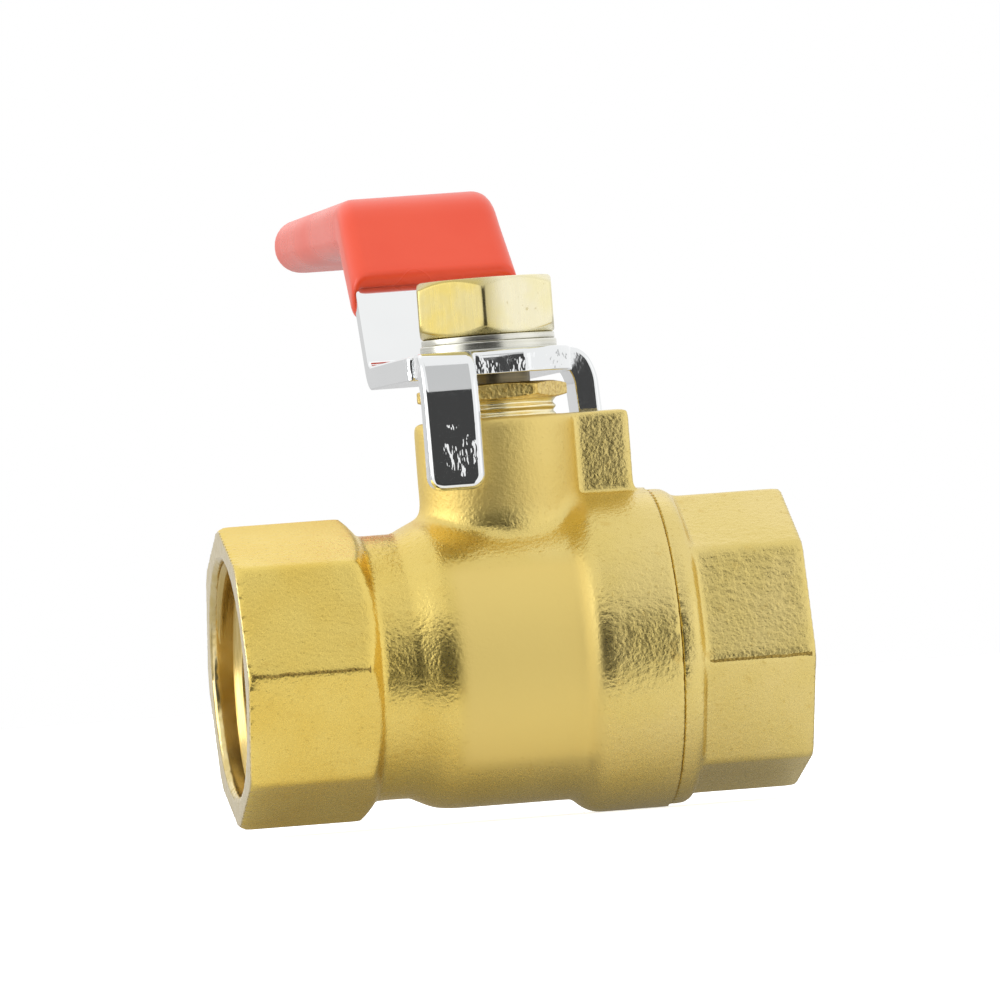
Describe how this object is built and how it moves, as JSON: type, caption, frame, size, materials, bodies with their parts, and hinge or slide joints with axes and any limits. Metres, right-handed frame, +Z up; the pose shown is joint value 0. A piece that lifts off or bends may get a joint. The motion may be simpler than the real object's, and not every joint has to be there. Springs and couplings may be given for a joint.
{
  "type": "ball valve",
  "caption": "Brass quarter-turn ball valve with octagonal female-threaded ends, a plated bent steel lever with a red dipped grip, gland nut, stop lug and stop tabs; shown shut.",
  "frame": {"origin": "centre of the inlet end face, on the pipe axis", "axes": "+X along the pipe from inlet to outlet, +Z up the stem, +Y the way the lever points when the valve is shut"},
  "size_m": [0.0507, 0.1014, 0.0577],
  "materials": {
    "forged_brass": "shot-blasted forging, satin, machined on the end faces",
    "nut_brass": "machined, semi-bright",
    "turned_brass": "turned, bright",
    "plated_ball": "polished plating",
    "plated_steel": "bright plated sheet steel",
    "washer_steel": "plated, satin",
    "white_seal": "smooth fluoropolymer",
    "red_vinyl": "dipped vinyl, glossy"
  },
  "bodies": {
    "housing": {"valve_body": "forged_brass", "end_cap": "forged_brass", "inlet_seat": "white_seal", "outlet_seat": "white_seal", "thrust_washer": "white_seal", "lower_packing_ring": "white_seal", "upper_packing_ring": "white_seal", "gland_nut": "nut_brass"},
    "lever_and_ball": {"ball": "plated_ball", "stem": "turned_brass", "handle_lever": "plated_steel", "grip_sleeve": "red_vinyl", "flat_washer": "washer_steel", "lock_washer": "washer_steel", "handle_nut": "nut_brass"}
  },
  "joints": [
    {"name": "lever_turn", "type": "hinge", "parent": "housing", "child": "lever_and_ball", "pos_m": [0.0256, 0, 0], "axis": [0, 0, 1], "range_deg": [0, 90]}
  ]
}
